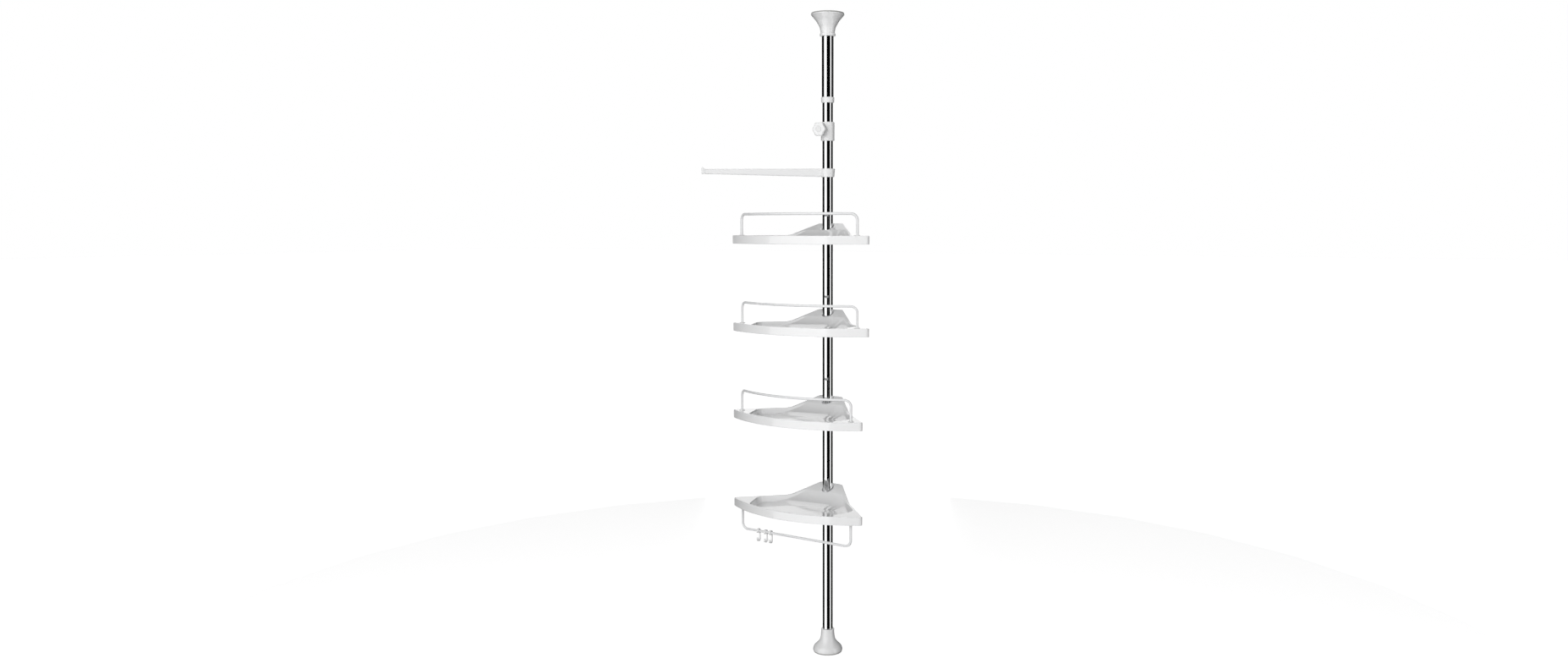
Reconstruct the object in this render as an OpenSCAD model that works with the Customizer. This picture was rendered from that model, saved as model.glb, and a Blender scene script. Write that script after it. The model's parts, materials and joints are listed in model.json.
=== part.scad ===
// Tension pole shower caddy: four corner shelves with wire rails, a towel arm and a towel rail
// with hooks, on a telescoping pole that a spring jams between the floor and the ceiling.
// Frame: +Z up, the pole's axis on Z, the floor at z = 0, the shelves' long fronts toward -Y.
// Millimetres.

/* [Pole] */
// Diameter of the lower pole tube
tube_d = 25; // [24:0.5:25]
// Diameter of the upper tube, which slides over the lower one
outer_tube_d = 28; // [28:0.5:29]
// Wall of both tubes
tube_wall = 1; // [0.8:0.1:1.2]
// Height of the whole caddy, as it is set now
total_h = 1538; // [1534:1:1544]
// Lower end of the upper tube's end ring
ring_z = 1330; // [1326:0.5:1336]
// Top of the lower pole, inside the upper tube
inner_top_z = 1430; // [1420:1:1435]
// Radial gap of the plastic pieces that slide on the pole
slide_gap = 0.1; // [0.05:0.01:0.1]

/* [Foot and cap] */
// Radius of the foot's flared base
foot_r = 36; // [34:0.5:38]
// Height of the foot
foot_h = 57; // [54:1:60]
// Radius of the ceiling cap's rim
cap_r = 39.5; // [38:0.5:42]
// Height of the ceiling cap below the pad
cap_h = 51; // [50:0.5:53]
// Thickness of the rubber pads
pad_h = 3; // [2:0.5:4]

/* [Lock and towel arm] */
// Lower end of the lock collar
lock_z = 1241; // [1236:1:1244]
// Height of the lock collar
lock_h = 44; // [44:1:46]
// Outside radius of the lock collar
lock_r = 16; // [16:0.1:16.5]
// Radius of the clamp knob over its lobes
knob_r = 17; // [16:0.5:19]
// Thickness of the clamp knob
knob_t = 14; // [12:1:16]
// Lower end of the towel arm's collar
arm_z = 1156; // [1150:1:1162]
// Reach of the towel arm from the pole's axis
arm_reach = 298; // [250:1:330]
// Direction of the towel arm round the pole, counted from +X
arm_turn = 215; // [180:1:240]

/* [Shelves] */
// Height of each shelf's rim, from the top shelf down
shelf_z = [1019, 813, 602.5, 387.5]; // [300:0.5:1100]
// Turn of each shelf round the pole, as it is set now
shelf_turn = [0, 0, -4, -4]; // [-20:1:20]
// Height of a shelf's outer face
rim_h = 19.5; // [18:0.5:21]
// Depth of the bowl below the rim
bowl_depth = 13.5; // [12:0.5:14]
// Wall thickness of the moulded shelf
shelf_wall = 2.5; // [2:0.5:3]
// Height of the hump behind the pole above the rim
hump_h = 28; // [26:1:30]
// Diameter of the rail wire
wire_d = 6; // [5:0.5:6]
// Height of the guard rails' wire above the rim
rail_h = 49; // [44:1:54]
// Depth of the towel rail's wire below the bottom shelf
towel_rail_h = 52; // [46:1:56]

/* [Hooks] */
// Places of the hooks along the towel rail's straight bar, from its middle
hook_places = [-106, -85, -70.5]; // [-130:0.5:130]
// Width of a hook along the rail
hook_w = 5; // [4:0.5:6]

/* [Hidden] */

$fn = 96;
plastic = "white";
steel = "silver";
zinc = "gainsboro";
rubber = "gray";

tube_r = tube_d / 2;
outer_r = outer_tube_d / 2;
outer_in_r = outer_r - tube_wall;
slide_r = tube_r + slide_gap;

// Pole
tube_foot_z = 8;
joint_low_z = shelf_z[2] + 5;
joint_high_z = shelf_z[0] + 9;
joint_l = 60;
bush_l = 18;
bush_head = 4;
outer_top_z = total_h - 38;
seat_z = total_h - 66;
seat_t = 6;

// Ceiling cap
cap_top_z = total_h - pad_h;
cap_z = cap_top_z - cap_h;
cap_ceiling_z = total_h - 12;
cap_gap = 0.3;
cap_neck_r = 16.8;
cap_bead_r = 18.5;
stem_r = 5;
stem_l = 22;
spring_r = 9;
spring_wire_r = 1;
spring_turns = 7;

// Lock
lock_wall = 1.7;
lock_bush_r = lock_r - lock_wall;
lock_bush_h = 10;
lock_lip = 1.3;
knob_z = lock_z + 25;
knob_back = 31;
boss_r = 8.5;
boss_end = 26;
shoe_back = 16.5;
pocket_end = 19.2;
nut_t = 5;
nut_flat = 10;
screw_r = 3;
screw_end = 43;
knob_front = knob_back + knob_t;
knob_lobes = 6;
lobe_r = 4.6;
knob_cap_r = 7;
knob_cap_t = 1.5;

// Towel arm
arm_collar_h = 20;
arm_collar_r = 15.6;
arm_collar_top_r = 17.2;
arm_wedge_r = 14;
arm_wedge_top_r = 13.4;
wedge_gap = 0.15;
arm_t = 9;
arm_root_low = 0.5;
arm_root_high = 20.5;
arm_tip_low = 6.2;
arm_tip_high = 18;
arm_lip_high = 22;
arm_tip_l = 9;

// Shelf outline, seen from above: right half, from the front's middle round to the back
front_corner = [0, -250];
front_r = 316;
tip_corner = [184.5, -136];
tip_r = 8;
hub_corner = [26, 22.5];
hub_corner_r = 30;

// Bowl outline, right half
bowl_outline = [[0, -209.5], [112, -169.9], [138, -97], [56, -16]];
bowl_radii = [312, 14, 13, 12];

// The bowl's floor rises toward the pole from apron_start to apron_end, along Y
apron_start = -80;
apron_end = -14;
apron_steps = 8;

// Hump: the shelf's top rises in a straight ramp from hump_start to hump_end, along Y
hump_start = -37;
hump_end = 15;
hump_soft = 10;
hump_steps = 5;

// Shelf hub and its wedge, heights counted from the rim
hub_r = 21;
wedge_low = -17;
wedge_high = 12;
wedge_low_r = 17;
wedge_high_r = 13.6;
hub_gap = 0.3;
wedge_slit = 1;

// Rail: a curved bar parallel with the shelf's front, or a straight one, and a post at each end
wire_r = wire_d / 2;
rail_r = 300;
rail_centre_y = 119.5;
rail_turn = 27.8;
rail_bend = 15;
rail_depth = 14;
plug_r = 5;
plug_flange_r = 6.5;
plug_flange_t = 1.2;
plug_boss_r = 7.5;
rail_post = [
    rail_r * sin(rail_turn) + rail_bend * cos(rail_turn),
    rail_centre_y - rail_r * cos(rail_turn) + rail_bend * sin(rail_turn)
];

// Hooks
clip_r = 6.3;
clip_gap = 0.3;
hook_stroke = 3;
hook_drop = 19;
hook_bend_r = 5;
hook_lip = 4;

far = 400;

// ---- Plane geometry ----

function unit(v) = v / norm(v);
function left_of(v) = [-v.y, v.x];
function turned(v, a) = [v.x * cos(a) - v.y * sin(a), v.x * sin(a) + v.y * cos(a)];
function cross2(u, v) = u.x * v.y - u.y * v.x;

// Points of the arc of radius r that rounds the corner b between a and c
function corner_points(a, b, c, r) =
    let (
        u = unit(b - a),
        w = unit(c - b),
        side = sign(cross2(u, w)),
        bend = acos(u * w),
        start = b - u * r * tan(bend / 2),
        centre = start + side * r * left_of(u),
        steps = max(2, ceil(bend * sqrt(r) / 30))
    )
    [for (i = [0:steps]) centre - side * r * turned(left_of(u), side * bend * i / steps)];

// A closed outline, counterclockwise, with each corner rounded by its own radius
function rounded(points, radii) =
    let (n = len(points))
    [for (i = [0:n - 1])
        each corner_points(points[(i + n - 1) % n], points[i], points[(i + 1) % n], radii[i])];

// The corner b moved inward by d from both of its sides
function inset_corner(a, b, c, d) =
    let (m = left_of(unit(b - a)), n = left_of(unit(c - b)))
    b + d * (m + n) / (1 + m * n);

function inset(points, d) =
    let (n = len(points))
    [for (i = [0:n - 1])
        inset_corner(points[(i + n - 1) % n], points[i], points[(i + 1) % n], d)];

// A right half and its mirror image: the first corner lies on the mirror line
function both_sides(half) =
    concat(half, [for (i = [len(half) - 1:-1:1]) [-half[i].x, half[i].y]]);

function both_radii(half) = concat(half, [for (i = [len(half) - 1:-1:1]) half[i]]);

// The shelf's outline moved inward by d
function shelf_edge(d) =
    rounded(
        inset(both_sides([front_corner, tip_corner, hub_corner]), d),
        both_radii([front_r - d, tip_r - d, hub_corner_r - d])
    );

// The bowl's outline moved outward by d
function bowl_edge(d) =
    rounded(
        inset(both_sides(bowl_outline), -d),
        both_radii([for (r = bowl_radii) r + d])
    );

// ---- Shared shapes ----

module tube(r_out, r_in, low, high) {
    translate([0, 0, low])
        difference() {
            cylinder(r = r_out, h = high - low);
            translate([0, 0, -1])
                cylinder(r = r_in, h = high - low + 2);
        }
}

// A cone between two heights, its radius running on along the same slope past both ends
module cone_through(r_low, r_high, low, high, past) {
    slope = (r_high - r_low) / (high - low);
    translate([0, 0, low - past])
        cylinder(r1 = r_low - slope * past, r2 = r_high + slope * past, h = high - low + 2 * past);
}

// The two halves of a split cone that grips the pole
module wedge_halves(r_low, r_high, low, high) {
    difference() {
        translate([0, 0, low])
            cylinder(r1 = r_low, r2 = r_high, h = high - low);
        translate([0, 0, low - 1])
            cylinder(r = slide_r, h = high - low + 2);
        translate([-far / 2, -wedge_slit / 2, low - 1])
            cube([far, wedge_slit, high - low + 2]);
    }
}

// A shape drawn along X and Z, laid along the -Y direction of the clamp knob's axis
module on_knob_axis(from_axis) {
    translate([0, -from_axis, knob_z])
        rotate([90, 0, 0])
            children();
}

// ---- Foot and pole ----

module foot_pad() {
    color(rubber)
        union() {
            cylinder(r = foot_r - 1.5, h = pad_h);
            translate([0, 0, pad_h])
                cylinder(r = 10, h = 3);
        }
}

module foot_cone() {
    color(plastic)
        difference() {
            rotate_extrude()
                polygon([
                    [0, pad_h], [foot_r - 0.5, pad_h], [foot_r, pad_h + 1], [foot_r, pad_h + 4],
                    [foot_r - 0.8, pad_h + 7], [foot_r - 3.4, pad_h + 12.2], [foot_r - 9.6, pad_h + 18.4],
                    [foot_r - 14.2, pad_h + 23.4], [18.9, foot_h - 26], [17.4, foot_h - 20],
                    [16.3, foot_h - 11], [16, foot_h - 5.5], [16.5, foot_h - 4.5], [16.5, foot_h - 1],
                    [16, foot_h], [0, foot_h]
                ]);
            translate([0, 0, tube_foot_z])
                cylinder(r = tube_r + 0.05, h = foot_h);
            translate([0, 0, pad_h - 1])
                cylinder(r = 10.1, h = 4.2);
        }
}

module mast_tube_lower() {
    color(steel)
        tube(tube_r, tube_r - tube_wall, tube_foot_z, joint_low_z);
}

module mast_tube_middle() {
    color(steel)
        tube(tube_r, tube_r - tube_wall, joint_low_z, joint_high_z);
}

module mast_tube_upper() {
    color(steel)
        tube(tube_r, tube_r - tube_wall, joint_high_z, inner_top_z);
}

module mast_joint(z) {
    tube(tube_r - tube_wall - 0.05, tube_r - tube_wall - 2, z - joint_l / 2, z + joint_l / 2);
}

module mast_joint_lower() {
    color(steel) mast_joint(joint_low_z);
}

module mast_joint_upper() {
    color(steel) mast_joint(joint_high_z);
}

// Plastic plug in the lower pole's top; its head guides the upper tube
module telescope_bush() {
    color(plastic)
        union() {
            tube(tube_r - tube_wall - 0.05, 8, inner_top_z - bush_l, inner_top_z);
            tube(outer_in_r - slide_gap, 8, inner_top_z, inner_top_z + bush_head);
        }
}

// ---- Upper tube ----

module outer_tube() {
    color(steel)
        tube(outer_r, outer_in_r, ring_z + 5, outer_top_z);
}

module telescope_ring() {
    color(plastic)
        difference() {
            rotate_extrude()
                polygon([
                    [0, ring_z], [outer_r + 1, ring_z], [outer_r + 1.4, ring_z + 1],
                    [outer_r + 1.9, ring_z + 12.5], [outer_r + 1.2, ring_z + 13.5], [0, ring_z + 13.5]
                ]);
            translate([0, 0, ring_z - 1])
                cylinder(r = slide_r, h = 20);
            translate([0, 0, ring_z + 5])
                cylinder(r = outer_r + 0.05, h = 20);
        }
}

module spring_seat() {
    color(plastic)
        union() {
            translate([0, 0, seat_z])
                cylinder(r = outer_in_r - 0.05, h = seat_t);
            translate([0, 0, seat_z + seat_t])
                cylinder(r = 6, h = 2);
        }
}

// ---- Ceiling cap ----

function spring_point(a, b) =
    let (rise = cap_ceiling_z - seat_z - seat_t - 2 * spring_wire_r - 0.4, r = spring_r + spring_wire_r * cos(b))
    [
        r * cos(a),
        r * sin(a),
        seat_z + seat_t + 0.2 + spring_wire_r + rise * a / (360 * spring_turns) + spring_wire_r * sin(b)
    ];

module tension_spring() {
    sides = 8;
    rings = spring_turns * 18;
    points = [for (i = [0:rings]) for (j = [0:sides - 1]) spring_point(i * 20, j * 360 / sides)];
    walls = [for (i = [0:rings - 1]) for (j = [0:sides - 1]) [
        i * sides + j, i * sides + (j + 1) % sides, (i + 1) * sides + (j + 1) % sides, (i + 1) * sides + j
    ]];
    low_end = [for (j = [sides - 1:-1:0]) j];
    high_end = [for (j = [0:sides - 1]) rings * sides + j];
    color(zinc)
        polyhedron(points, concat(walls, [low_end, high_end]));
}

module ceiling_cap() {
    flare = cap_top_z - 1.5;
    color(plastic)
        difference() {
            rotate_extrude()
                polygon([
                    [0, cap_z], [cap_bead_r - 0.8, cap_z], [cap_bead_r, cap_z + 1], [cap_bead_r, cap_z + 5.5],
                    [cap_neck_r + 0.6, cap_z + 6.8], [cap_neck_r, cap_z + 8], [cap_neck_r + 0.5, flare - 36.4],
                    [19.1, flare - 28.7], [23.1, flare - 21.2], [27.7, flare - 13.8], [33.7, flare - 6.9],
                    [cap_r - 0.6, flare - 1.2], [cap_r, flare], [cap_r, cap_top_z], [0, cap_top_z]
                ]);
            translate([0, 0, cap_z - 1])
                cylinder(r = outer_r + cap_gap, h = cap_ceiling_z - cap_z + 1);
            translate([0, 0, cap_ceiling_z - 1])
                cylinder(r = stem_r + 0.05, h = 4);
            translate([0, 0, cap_top_z - 3])
                cylinder(r = 10.1, h = 4);
        }
}

module ceiling_pad() {
    color(rubber)
        union() {
            translate([0, 0, cap_top_z])
                cylinder(r = cap_r - 0.8, h = pad_h);
            translate([0, 0, cap_top_z - 2.8])
                cylinder(r = 10, h = 3);
        }
}

// Pin that guides the spring, pressed into the cap from below
module cap_stem() {
    color(steel)
        translate([0, 0, cap_ceiling_z - stem_l])
            cylinder(r = stem_r, h = stem_l + 3);
}

// ---- Lock collar ----

// Two rings that slide on the pole; the collar turns on them
module lock_bushes() {
    color(plastic)
        for (low = [lock_z + lock_lip + 0.2, lock_z + lock_h - lock_lip - 0.2 - lock_bush_h])
            tube(lock_bush_r, slide_r, low, low + lock_bush_h);
}

module lock_collar() {
    top = lock_z + lock_h;
    color(plastic)
        difference() {
            union() {
                rotate_extrude()
                    polygon([
                        [0, lock_z], [lock_r - 0.8, lock_z], [lock_r, lock_z + 0.8],
                        [lock_r, top - 0.8], [lock_r - 0.8, top], [0, top]
                    ]);
                on_knob_axis(0)
                    cylinder(r = boss_r, h = boss_end);
            }
            translate([0, 0, lock_z - 1])
                cylinder(r = tube_r + 0.5, h = lock_h + 2);
            translate([0, 0, lock_z + lock_lip])
                cylinder(r = lock_bush_r + 0.05, h = lock_h - 2 * lock_lip);
            translate([-6, -pocket_end, knob_z - 7])
                cube([12, pocket_end, 14]);
            on_knob_axis(pocket_end - 1)
                cylinder(r = nut_flat / 2 / cos(30) + 0.1, h = nut_t + 1, $fn = 6);
            on_knob_axis(pocket_end)
                cylinder(r = screw_r + 0.3, h = 20);
        }
}

// Nut behind the clamp knob, held in the collar's six-sided pocket
module lock_nut() {
    color(zinc)
        on_knob_axis(pocket_end)
            difference() {
                cylinder(r = nut_flat / 2 / cos(30), h = nut_t, $fn = 6);
                translate([0, 0, -1])
                    cylinder(r = screw_r + 0.1, h = nut_t + 2);
            }
}

// Brake shoe that the clamp screw presses on the pole
module lock_shoe() {
    color(rubber)
        difference() {
            translate([-5.7, -shoe_back, knob_z - 6.7])
                cube([11.4, shoe_back, 13.4]);
            translate([0, 0, knob_z - 10])
                cylinder(r = slide_r, h = 20);
            translate([-10, -8, knob_z - 10])
                cube([20, 20, 20]);
        }
}

module lock_knob() {
    color(plastic)
        on_knob_axis(knob_back)
            difference() {
                union() {
                    cylinder(r = knob_r - 3.2, h = knob_t);
                    for (i = [0:knob_lobes - 1])
                        rotate([0, 0, (i + 0.5) * 360 / knob_lobes])
                            translate([knob_r - lobe_r, 0, 0])
                                cylinder(r = lobe_r, h = knob_t);
                    translate([0, 0, -3])
                        cylinder(r = 7, h = 3);
                }
                translate([0, 0, -4])
                    cylinder(r = screw_r + 0.05, h = 4 + screw_end - knob_back);
                translate([0, 0, knob_t - knob_cap_t])
                    cylinder(r = knob_cap_r + 0.1, h = knob_cap_t + 1);
            }
}

module lock_screw() {
    color(zinc)
        on_knob_axis(shoe_back + 0.1)
            cylinder(r = screw_r, h = screw_end - shoe_back - 0.1);
}

module knob_cap() {
    color(plastic)
        on_knob_axis(knob_front - knob_cap_t)
            cylinder(r = knob_cap_r, h = knob_cap_t);
}

// ---- Towel arm ----

module arm_wedge() {
    color(plastic)
        wedge_halves(arm_wedge_r, arm_wedge_top_r, arm_z + 0.5, arm_z + arm_collar_h - 0.5);
}

module towel_arm() {
    body_l = arm_reach - arm_tip_l;
    color(plastic)
        translate([0, 0, arm_z])
            difference() {
                union() {
                    cylinder(r1 = arm_collar_r, r2 = arm_collar_top_r, h = arm_collar_h);
                    rotate([90, 0, arm_turn])
                        linear_extrude(height = arm_t, center = true)
                            polygon([
                                [13.8, arm_root_low + 2], [20, arm_root_low],
                                [body_l, arm_tip_low], [body_l, arm_tip_high],
                                [20, arm_root_high], [13.8, arm_root_high - 3]
                            ]);
                }
                cone_through(arm_wedge_r + wedge_gap, arm_wedge_top_r + wedge_gap, 0, arm_collar_h, 1);
            }
}

// End piece of the arm, with a lip that keeps a towel from sliding off
module arm_tip() {
    color(plastic)
        translate([0, 0, arm_z])
            rotate([90, 0, arm_turn])
                linear_extrude(height = arm_t, center = true)
                    polygon([
                        [arm_reach - arm_tip_l, arm_tip_low], [arm_reach - 2, arm_tip_low],
                        [arm_reach, arm_tip_low + 3], [arm_reach, arm_lip_high - 1.5],
                        [arm_reach - 1.5, arm_lip_high], [arm_reach - 4, arm_lip_high - 0.5],
                        [arm_reach - 6, arm_tip_high], [arm_reach - arm_tip_l, arm_tip_high]
                    ]);
}

// ---- Shelves ----

// Height of the shelf's top above the rim, at a distance y in front of or behind the pole
function hump_at(y) =
    let (slope = hump_h / (hump_end - hump_start), t = y - hump_start)
    t < -hump_soft ? 0
    : t < hump_soft ? slope * (t + hump_soft) ^ 2 / (4 * hump_soft)
    : min(hump_h, slope * t);

// Height of the bowl's floor at a distance y; it rises through the shelf's top at apron_end
function floor_at(y) =
    let (t = (y - apron_start) / (apron_end - apron_start))
    -bowl_depth + (hump_at(apron_end) + bowl_depth) * max(0, t) ^ 2;

// Everything between the height low and the shelf's top, lowered by drop
module under_top(low, drop) {
    soft = [for (i = [0:hump_steps]) hump_start + hump_soft * (2 * i / hump_steps - 1)];
    ridge = [for (y = concat(soft, [hump_end])) [y, hump_at(y) - drop]];
    rotate([90, 0, 90])
        linear_extrude(height = far, center = true)
            polygon(concat([[-far, low], [-far, -drop]], ridge, [[far, hump_h - drop], [far, low]]));
}

// Everything above the bowl's floor, lowered by drop
module over_floor(drop) {
    high = hump_h + 5;
    end = apron_end + 5;
    apron = [for (i = [0:apron_steps]) apron_start + (end - apron_start) * i / apron_steps];
    rotate([90, 0, 90])
        linear_extrude(height = far, center = true)
            polygon(concat(
                [[-far, high], [-far, -bowl_depth - drop]],
                [for (y = apron) [y, floor_at(y) - drop]],
                [[far, floor_at(end) - drop], [far, high]]
            ));
}

module outline_block(d, low, drop) {
    intersection() {
        translate([0, 0, low])
            linear_extrude(height = hump_h - low + 1)
                polygon(shelf_edge(d));
        under_top(low, drop);
    }
}

// The bowl's hollow, grown by d on all sides
module bowl_block(d) {
    intersection() {
        translate([0, 0, -rim_h])
            linear_extrude(height = rim_h + hump_h + 2)
                polygon(bowl_edge(d));
        over_floor(d);
    }
}

module at_posts() {
    for (side = [-1, 1])
        translate([side * rail_post.x, rail_post.y, 0])
            children();
}

module on_shelf(k) {
    translate([0, 0, shelf_z[k]])
        rotate([0, 0, shelf_turn[k]])
            children();
}

// The hole round the pole: a cone over the wedge, and straight above it
module hub_hole() {
    cone_through(wedge_low_r + hub_gap, wedge_high_r + hub_gap, wedge_low, wedge_high, 4);
    translate([0, 0, wedge_high])
        cylinder(r = wedge_high_r + hub_gap, h = hump_h);
}

module tray(k) {
    color(plastic)
        on_shelf(k)
            difference() {
                union() {
                    difference() {
                        outline_block(0, -rim_h, 0);
                        outline_block(shelf_wall, -rim_h - 1, shelf_wall);
                    }
                    intersection() {
                        outline_block(0, -rim_h, 0);
                        union() {
                            bowl_block(shelf_wall);
                            translate([0, 0, -rim_h])
                                cylinder(r = hub_r, h = rim_h + hump_h);
                            at_posts()
                                translate([0, 0, -rim_h])
                                    cylinder(r = plug_boss_r, h = rim_h);
                        }
                    }
                }
                bowl_block(0);
                hub_hole();
                at_posts()
                    translate([0, 0, -rim_h - 1])
                        cylinder(r = plug_r + 0.05, h = rim_h + 2);
            }
}

module shelf_wedge(k) {
    color(plastic)
        translate([0, 0, shelf_z[k]])
            wedge_halves(wedge_low_r, wedge_high_r, wedge_low, wedge_high);
}

// A short swell where two stretches of the rail's wire are welded
module weld() {
    cylinder(r = wire_r + 0.03, h = 1.2, center = true, $fn = 32);
}

// One end of a rail: a post that reaches rail_depth below z = 0, and a bend that meets the bar at bar_end
module rail_end(high, bar_end, turn) {
    translate([bar_end.x, bar_end.y, high - rail_bend])
        rotate([90, 0, turn])
            rotate_extrude(angle = 90)
                translate([rail_bend, 0])
                    circle(r = wire_r, $fn = 32);
    translate([bar_end.x, bar_end.y, high])
        rotate([90, 0, 90 + turn])
            weld();
    translate([rail_post.x, rail_post.y, high - rail_bend])
        weld();
    translate([rail_post.x, rail_post.y, -rail_depth])
        cylinder(r = wire_r, h = high - rail_bend + rail_depth, $fn = 32);
}

module curved_rail(high) {
    bar_end = [rail_r * sin(rail_turn), rail_centre_y - rail_r * cos(rail_turn)];
    translate([0, rail_centre_y, high])
        rotate([0, 0, -90 - rail_turn])
            rotate_extrude(angle = 2 * rail_turn, $fn = 360)
                translate([rail_r, 0])
                    circle(r = wire_r, $fn = 32);
    for (side = [0, 1])
        mirror([side, 0, 0])
            rail_end(high, bar_end, rail_turn);
}

module straight_rail(high) {
    bar_end = [rail_post.x - rail_bend, rail_post.y];
    translate([0, bar_end.y, high])
        rotate([0, 90, 0])
            cylinder(r = wire_r, h = 2 * bar_end.x, center = true, $fn = 32);
    for (side = [0, 1])
        mirror([side, 0, 0])
            rail_end(high, bar_end, 0);
}

module guard_rail(k) {
    color(steel)
        on_shelf(k)
            curved_rail(rail_h);
}

// A rail with a straight bar, upside down under the bottom shelf
module towel_rail() {
    color(steel)
        on_shelf(3)
            translate([0, 0, -rim_h])
                mirror([0, 0, 1])
                    straight_rail(towel_rail_h);
}

// Sockets that hold the rail's two posts; they stand on the plane z = 0
module rail_plugs() {
    at_posts()
        difference() {
            union() {
                translate([0, 0, -rim_h])
                    cylinder(r = plug_r, h = rim_h);
                cylinder(r = plug_flange_r, h = plug_flange_t);
            }
            translate([0, 0, -rail_depth])
                cylinder(r = wire_r + 0.05, h = rail_depth + 5);
        }
}

module upright_plugs(k) {
    color(plastic)
        on_shelf(k)
            rail_plugs();
}

module hanging_plugs(k) {
    color(plastic)
        on_shelf(k)
            translate([0, 0, -rim_h])
                mirror([0, 0, 1])
                    rail_plugs();
}

// ---- Hooks ----

module hook_profile() {
    shank_x = -hook_bend_r - hook_stroke / 2;
    difference() {
        circle(r = clip_r, $fn = 48);
        circle(r = wire_r + clip_gap, $fn = 48);
        rotate(-75)
            translate([0, -1.6])
                square([clip_r + 1, 3.2]);
    }
    translate([shank_x, -hook_drop])
        square([hook_stroke, hook_drop - 2.5]);
    translate([0, -hook_drop])
        difference() {
            circle(r = hook_bend_r + hook_stroke / 2, $fn = 48);
            circle(r = hook_bend_r - hook_stroke / 2, $fn = 48);
            translate([-far / 2, 0])
                square([far, far / 2]);
        }
    translate([hook_bend_r - hook_stroke / 2, -hook_drop])
        square([hook_stroke, hook_lip]);
}

module hook(i) {
    color(plastic)
        on_shelf(3)
            translate([hook_places[i], rail_post.y, -rim_h - towel_rail_h])
                rotate([90, 0, -90])
                    linear_extrude(height = hook_w, center = true)
                        hook_profile();
}

// ---- The assembly ----

foot_pad();
foot_cone();
mast_tube_lower();
mast_joint_lower();
mast_tube_middle();
mast_joint_upper();
mast_tube_upper();
telescope_bush();
outer_tube();
telescope_ring();
spring_seat();
tension_spring();
ceiling_cap();
ceiling_pad();
cap_stem();
lock_bushes();
lock_collar();
lock_nut();
lock_shoe();
lock_knob();
lock_screw();
knob_cap();
arm_wedge();
towel_arm();
arm_tip();
shelf_wedge(0);  // shelf_1_wedge
tray(0);  // shelf_1_tray
guard_rail(0);  // shelf_1_rail
upright_plugs(0);  // shelf_1_rail_plugs
shelf_wedge(1);  // shelf_2_wedge
tray(1);  // shelf_2_tray
guard_rail(1);  // shelf_2_rail
upright_plugs(1);  // shelf_2_rail_plugs
shelf_wedge(2);  // shelf_3_wedge
tray(2);  // shelf_3_tray
guard_rail(2);  // shelf_3_rail
upright_plugs(2);  // shelf_3_rail_plugs
shelf_wedge(3);  // shelf_4_wedge
tray(3);  // shelf_4_tray
towel_rail();
hanging_plugs(3);  // shelf_4_rail_plugs
hook(0);  // hook_1
hook(1);  // hook_2
hook(2);  // hook_3
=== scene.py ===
"""Tension pole shower caddy: shelves, rails, pole, lock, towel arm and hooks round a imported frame."""

import json
import math

import bpy
import numpy as np
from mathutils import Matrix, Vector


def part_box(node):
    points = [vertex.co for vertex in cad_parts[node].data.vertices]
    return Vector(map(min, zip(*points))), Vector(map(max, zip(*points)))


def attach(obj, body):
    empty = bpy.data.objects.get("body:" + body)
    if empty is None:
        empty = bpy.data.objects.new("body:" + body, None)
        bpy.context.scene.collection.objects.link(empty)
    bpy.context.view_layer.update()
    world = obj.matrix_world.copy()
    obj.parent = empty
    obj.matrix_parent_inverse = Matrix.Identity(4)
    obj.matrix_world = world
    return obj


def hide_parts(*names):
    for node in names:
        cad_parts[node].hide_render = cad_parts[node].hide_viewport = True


bl_info = {
    "name": "Shower Caddy",
    "version": (1, 0, 0),
    "blender": (4, 5, 0),
    "location": "View3D > Sidebar > Caddy",
    "description": "Builds a tension pole shower caddy from surfaces and node materials",
    "category": "Add Mesh",
}

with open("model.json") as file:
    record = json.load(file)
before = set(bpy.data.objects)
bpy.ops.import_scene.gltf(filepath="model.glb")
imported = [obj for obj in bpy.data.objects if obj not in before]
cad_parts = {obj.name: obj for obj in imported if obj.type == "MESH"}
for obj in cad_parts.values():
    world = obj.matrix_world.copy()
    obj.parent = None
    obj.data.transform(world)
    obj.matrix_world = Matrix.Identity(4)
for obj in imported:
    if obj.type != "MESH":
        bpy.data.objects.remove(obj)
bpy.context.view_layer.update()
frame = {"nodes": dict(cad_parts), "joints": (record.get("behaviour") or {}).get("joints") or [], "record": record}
MM = 0.001

# All in millimetres from the pole's axis.
# Right half of a shelf's outline and of its bowl's rim, and the radii of their corners
SHELF_HALF = [(0, -250), (184.5, -136), (26, 22.5)]
SHELF_RADII = [316, 8, 30]
BOWL_HALF = [(0, -209.5), (112, -169.9), (138, -97), (24.4, 18.5)]
BOWL_RADII = [312, 17, 34, 24]

# Along Y: where a shelf's hump starts, where it is level, and half the length of its soft start
HUMP_START, HUMP_END, HUMP_SOFT = -37, 15, 10
# Along Y: where the bowl's floor starts to rise, and where it meets the shelf's top
APRON_START, APRON_END = -80, -14
# A shelf's hub round the pole, and the seat in it for its wedge: how much wider than the hole it gets,
# and the heights where it starts and ends
HUB_RADIUS = 21.0
SEAT_WIDTH, SEAT_LOW, SEAT_HIGH = 3.4, -17.0, 11.0

# A rail: the half angle, radius and middle of its bowed bar, the radius of its two bends, and how far
# its posts go down into the shelf
RAIL_TURN, RAIL_BAR, RAIL_MIDDLE = math.radians(27.8), 300.0, 119.5
RAIL_BEND, RAIL_DEEP = 15.0, 13.9
RAIL_NODES = ["shelf_1_rail", "shelf_2_rail", "shelf_3_rail", "towel_rail"]

HOOK_BODIES = ["first_hook", "second_hook", "third_hook"]
HOOK_WIDTH = 5.0
TUBE_WALL = 1.0
SHARP_ANGLE = math.radians(38.0)

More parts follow.
